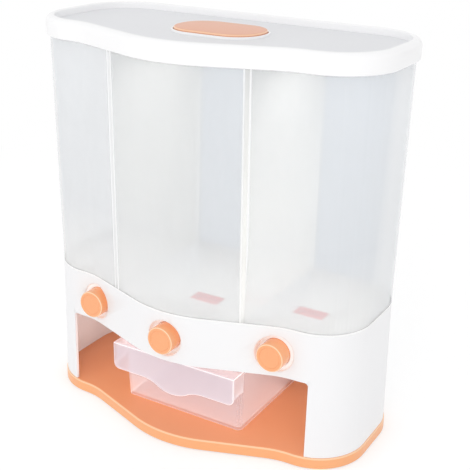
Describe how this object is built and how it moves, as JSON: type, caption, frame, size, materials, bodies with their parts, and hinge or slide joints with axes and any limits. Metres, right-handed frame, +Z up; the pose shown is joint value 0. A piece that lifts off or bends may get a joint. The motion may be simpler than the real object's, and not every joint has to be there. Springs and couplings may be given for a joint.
{
  "type": "rice dispenser with drawer",
  "caption": "Free-standing grain dispenser with clear compartments over a serving bay, push buttons that open gates, a lift-off lid and a pull-out drawer.",
  "frame": {"origin": "on the surface it stands on, under the middle of the casing", "axes": "+Z up, +Y to the flat back, the buttons and the drawer face -Y, +X to the right seen from the front"},
  "size_m": [0.3392, 0.1754, 0.371],
  "materials": {
    "orange_shell": "satin moulded, light grain",
    "white_shell": "satin moulded",
    "white_inner": "as moulded",
    "clear_hopper": "clear, smooth walls",
    "frosted_floor": "finely frosted, translucent",
    "soft_feet": "matt",
    "zinc_screw": "zinc plated",
    "white_lid": "satin moulded",
    "soft_seal": "matt silicone",
    "cup_plastic": "as moulded",
    "orange_cap": "satin moulded",
    "frosted_drawer": "frosted, translucent",
    "guide_plastic": "as moulded",
    "orange_gate": "satin moulded, pale",
    "orange_button": "satin moulded",
    "spring_steel": "drawn wire"
  },
  "bodies": {
    "root": {"base_tray": "orange_shell", "base_shell": "white_shell", "outlet_deck": "white_inner", "hopper": "clear_hopper", "hopper_floor": "frosted_floor", "feet": "soft_feet", "tray_screws": "zinc_screw", "deck_screws": "zinc_screw", "guide_screws": "zinc_screw", "left_guide": "guide_plastic", "centre_guide": "guide_plastic", "right_guide": "guide_plastic", "left_spring": "spring_steel", "centre_spring": "spring_steel", "right_spring": "spring_steel"},
    "left_pusher": {"left_button": "orange_button", "left_gate": "orange_gate"},
    "centre_pusher": {"centre_button": "orange_button", "centre_gate": "orange_gate"},
    "right_pusher": {"right_button": "orange_button", "right_gate": "orange_gate"},
    "drawer": {"drawer": "frosted_drawer"},
    "lid": {"lid": "white_lid", "lid_seal": "soft_seal", "desiccant_cup": "cup_plastic"},
    "cap": {"desiccant_cap": "orange_cap", "cap_gasket": "soft_seal"}
  },
  "joints": [
    {"name": "left_press", "type": "slide", "parent": "root", "child": "left_pusher", "axis": [0, 1, 0], "range_m": [0, 0.01], "stiffness_N_per_m": 300, "springref_m": -0.006, "deforming": ["left_spring"]},
    {"name": "centre_press", "type": "slide", "parent": "root", "child": "centre_pusher", "axis": [0, 1, 0], "range_m": [0, 0.01], "stiffness_N_per_m": 300, "springref_m": -0.006, "deforming": ["centre_spring"]},
    {"name": "right_press", "type": "slide", "parent": "root", "child": "right_pusher", "axis": [0, 1, 0], "range_m": [0, 0.01], "stiffness_N_per_m": 300, "springref_m": -0.006, "deforming": ["right_spring"]},
    {"name": "drawer_slide", "type": "slide", "parent": "root", "child": "drawer", "axis": [0, -1, 0], "range_m": [0, 0.16]},
    {"name": "lid_lift", "type": "slide", "parent": "root", "child": "lid", "axis": [0, 0, 1], "range_m": [0, 0.06]},
    {"name": "cap_lift", "type": "slide", "parent": "lid", "child": "cap", "axis": [0, 0, 1], "range_m": [0, 0.025]}
  ]
}
